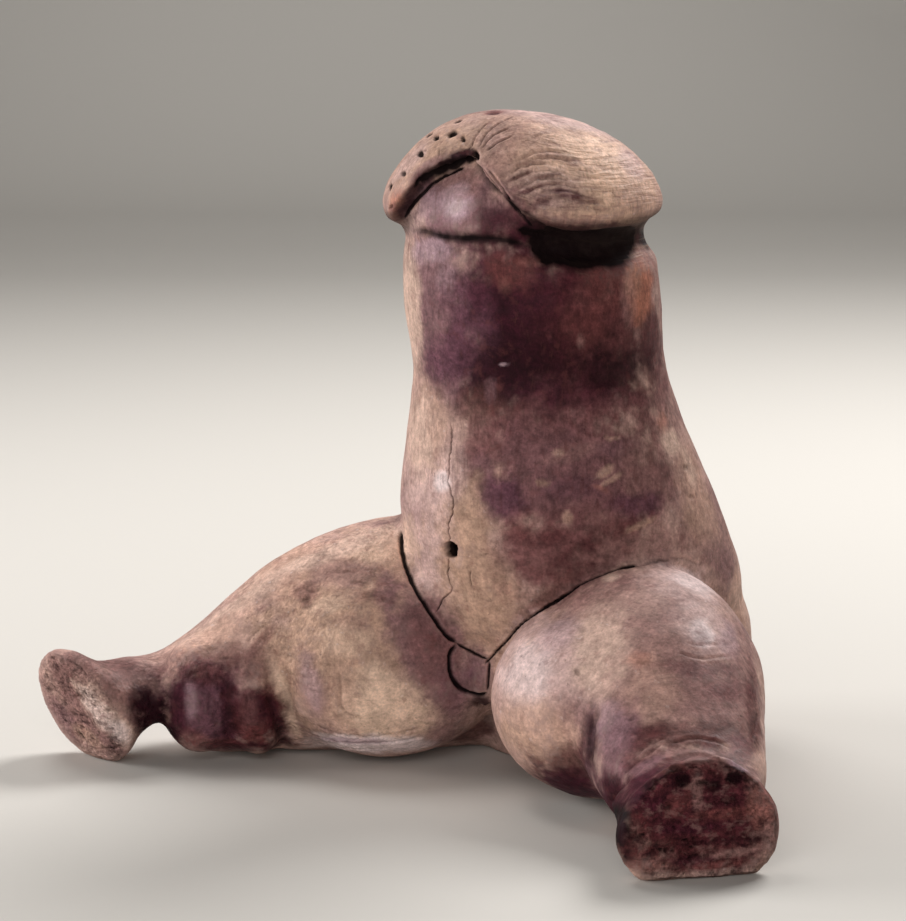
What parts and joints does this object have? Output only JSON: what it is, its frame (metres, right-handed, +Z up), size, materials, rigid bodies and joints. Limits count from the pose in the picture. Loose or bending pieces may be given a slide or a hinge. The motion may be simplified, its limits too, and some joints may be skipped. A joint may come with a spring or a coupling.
{
  "type": "seated figurine",
  "caption": "Seated ceramic figurine with a columnar torso under a lobed cap, a low belly with a small round hole, and short legs spread wide on flat soles.",
  "frame": {"origin": "middle of the bounding box of its footprint, on the surface it sits on", "axes": "+Z up, the figurine faces -Y and its left side is +X"},
  "size_m": [0.328, 0.2182, 0.2595],
  "materials": {
    "fired_clay": "unglazed, matte with a soft burnish, tan with dark purple-brown fire clouds"
  },
  "bodies": {
    "root": {"figurine": "fired_clay"}
  },
  "joints": []
}
